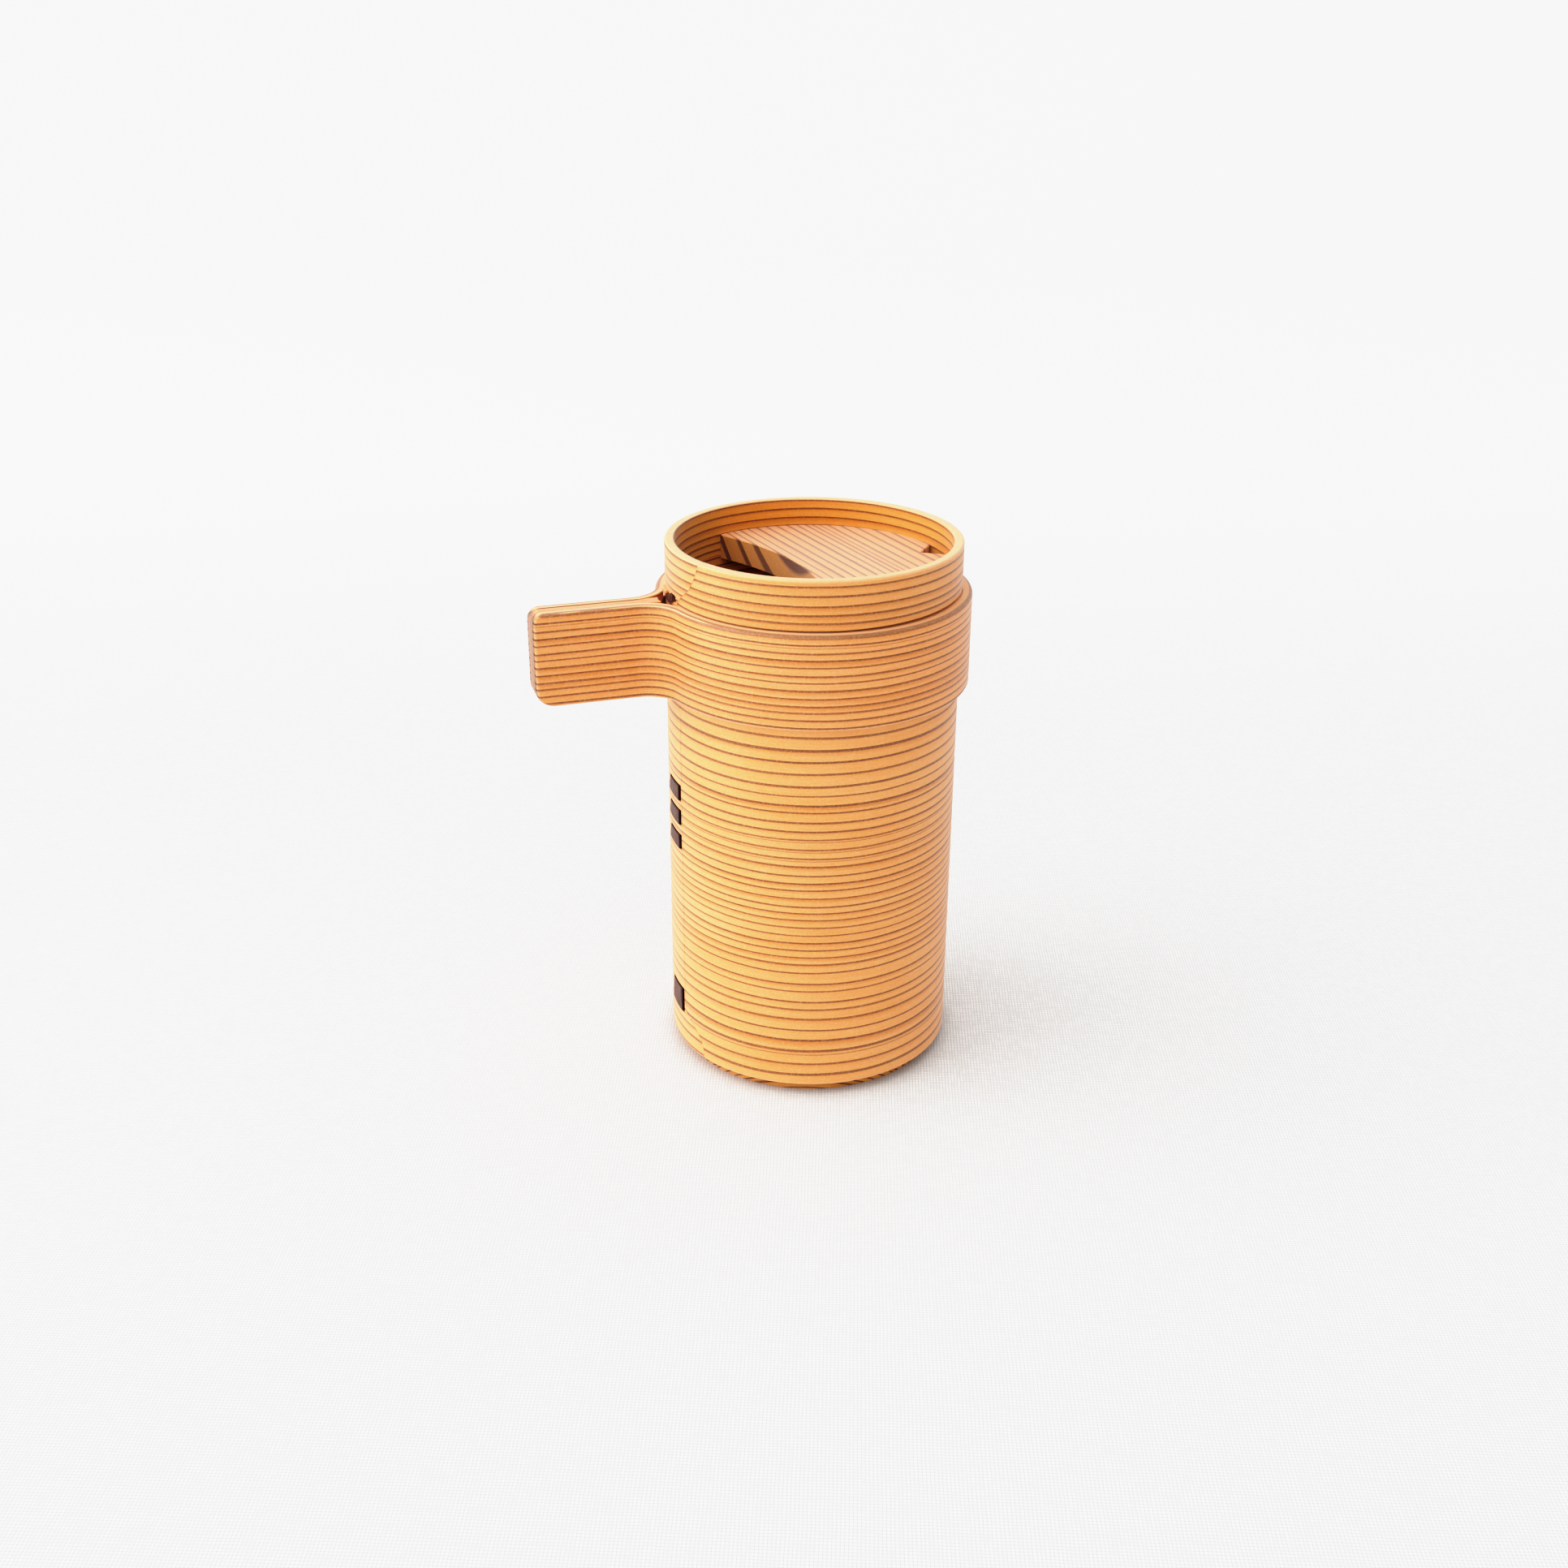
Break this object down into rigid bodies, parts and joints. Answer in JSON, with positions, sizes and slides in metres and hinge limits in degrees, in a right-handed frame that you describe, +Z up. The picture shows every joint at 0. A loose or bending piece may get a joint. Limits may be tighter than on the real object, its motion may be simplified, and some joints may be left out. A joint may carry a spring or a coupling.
{
  "type": "bent-wood lidded serving pot",
  "caption": "Tall round bent-cedar serving pot with a side handle made from a wrapped strip, bark-laced laps, and a lift-off lid with a pouring opening and an air notch.",
  "frame": {"origin": "centre of the base board's underside, on the vessel's axis", "axes": "+Z up the vessel's axis; the handle points along -X"},
  "size_m": [0.1127, 0.08, 0.1405],
  "materials": {
    "hoop_wood": "bare straight-grained cedar, satin",
    "strip_wood": "bare straight-grained cedar, satin",
    "board_wood": "bare cedar board, satin",
    "bark": "polished cherry bark, semi-gloss"
  },
  "bodies": {
    "pot": {"base_board": "board_wood", "body_wall": "hoop_wood", "body_lacing_upper": "bark", "body_lacing_lower": "bark", "handle_band": "strip_wood", "handle_core": "board_wood"},
    "lid": {"lid_hoop": "hoop_wood", "lid_board": "board_wood", "lid_lacing": "bark"}
  },
  "joints": [
    {"name": "lid_lift", "type": "slide", "parent": "pot", "child": "lid", "axis": [0, 0, 1], "range_m": [0, 0.05]}
  ]
}
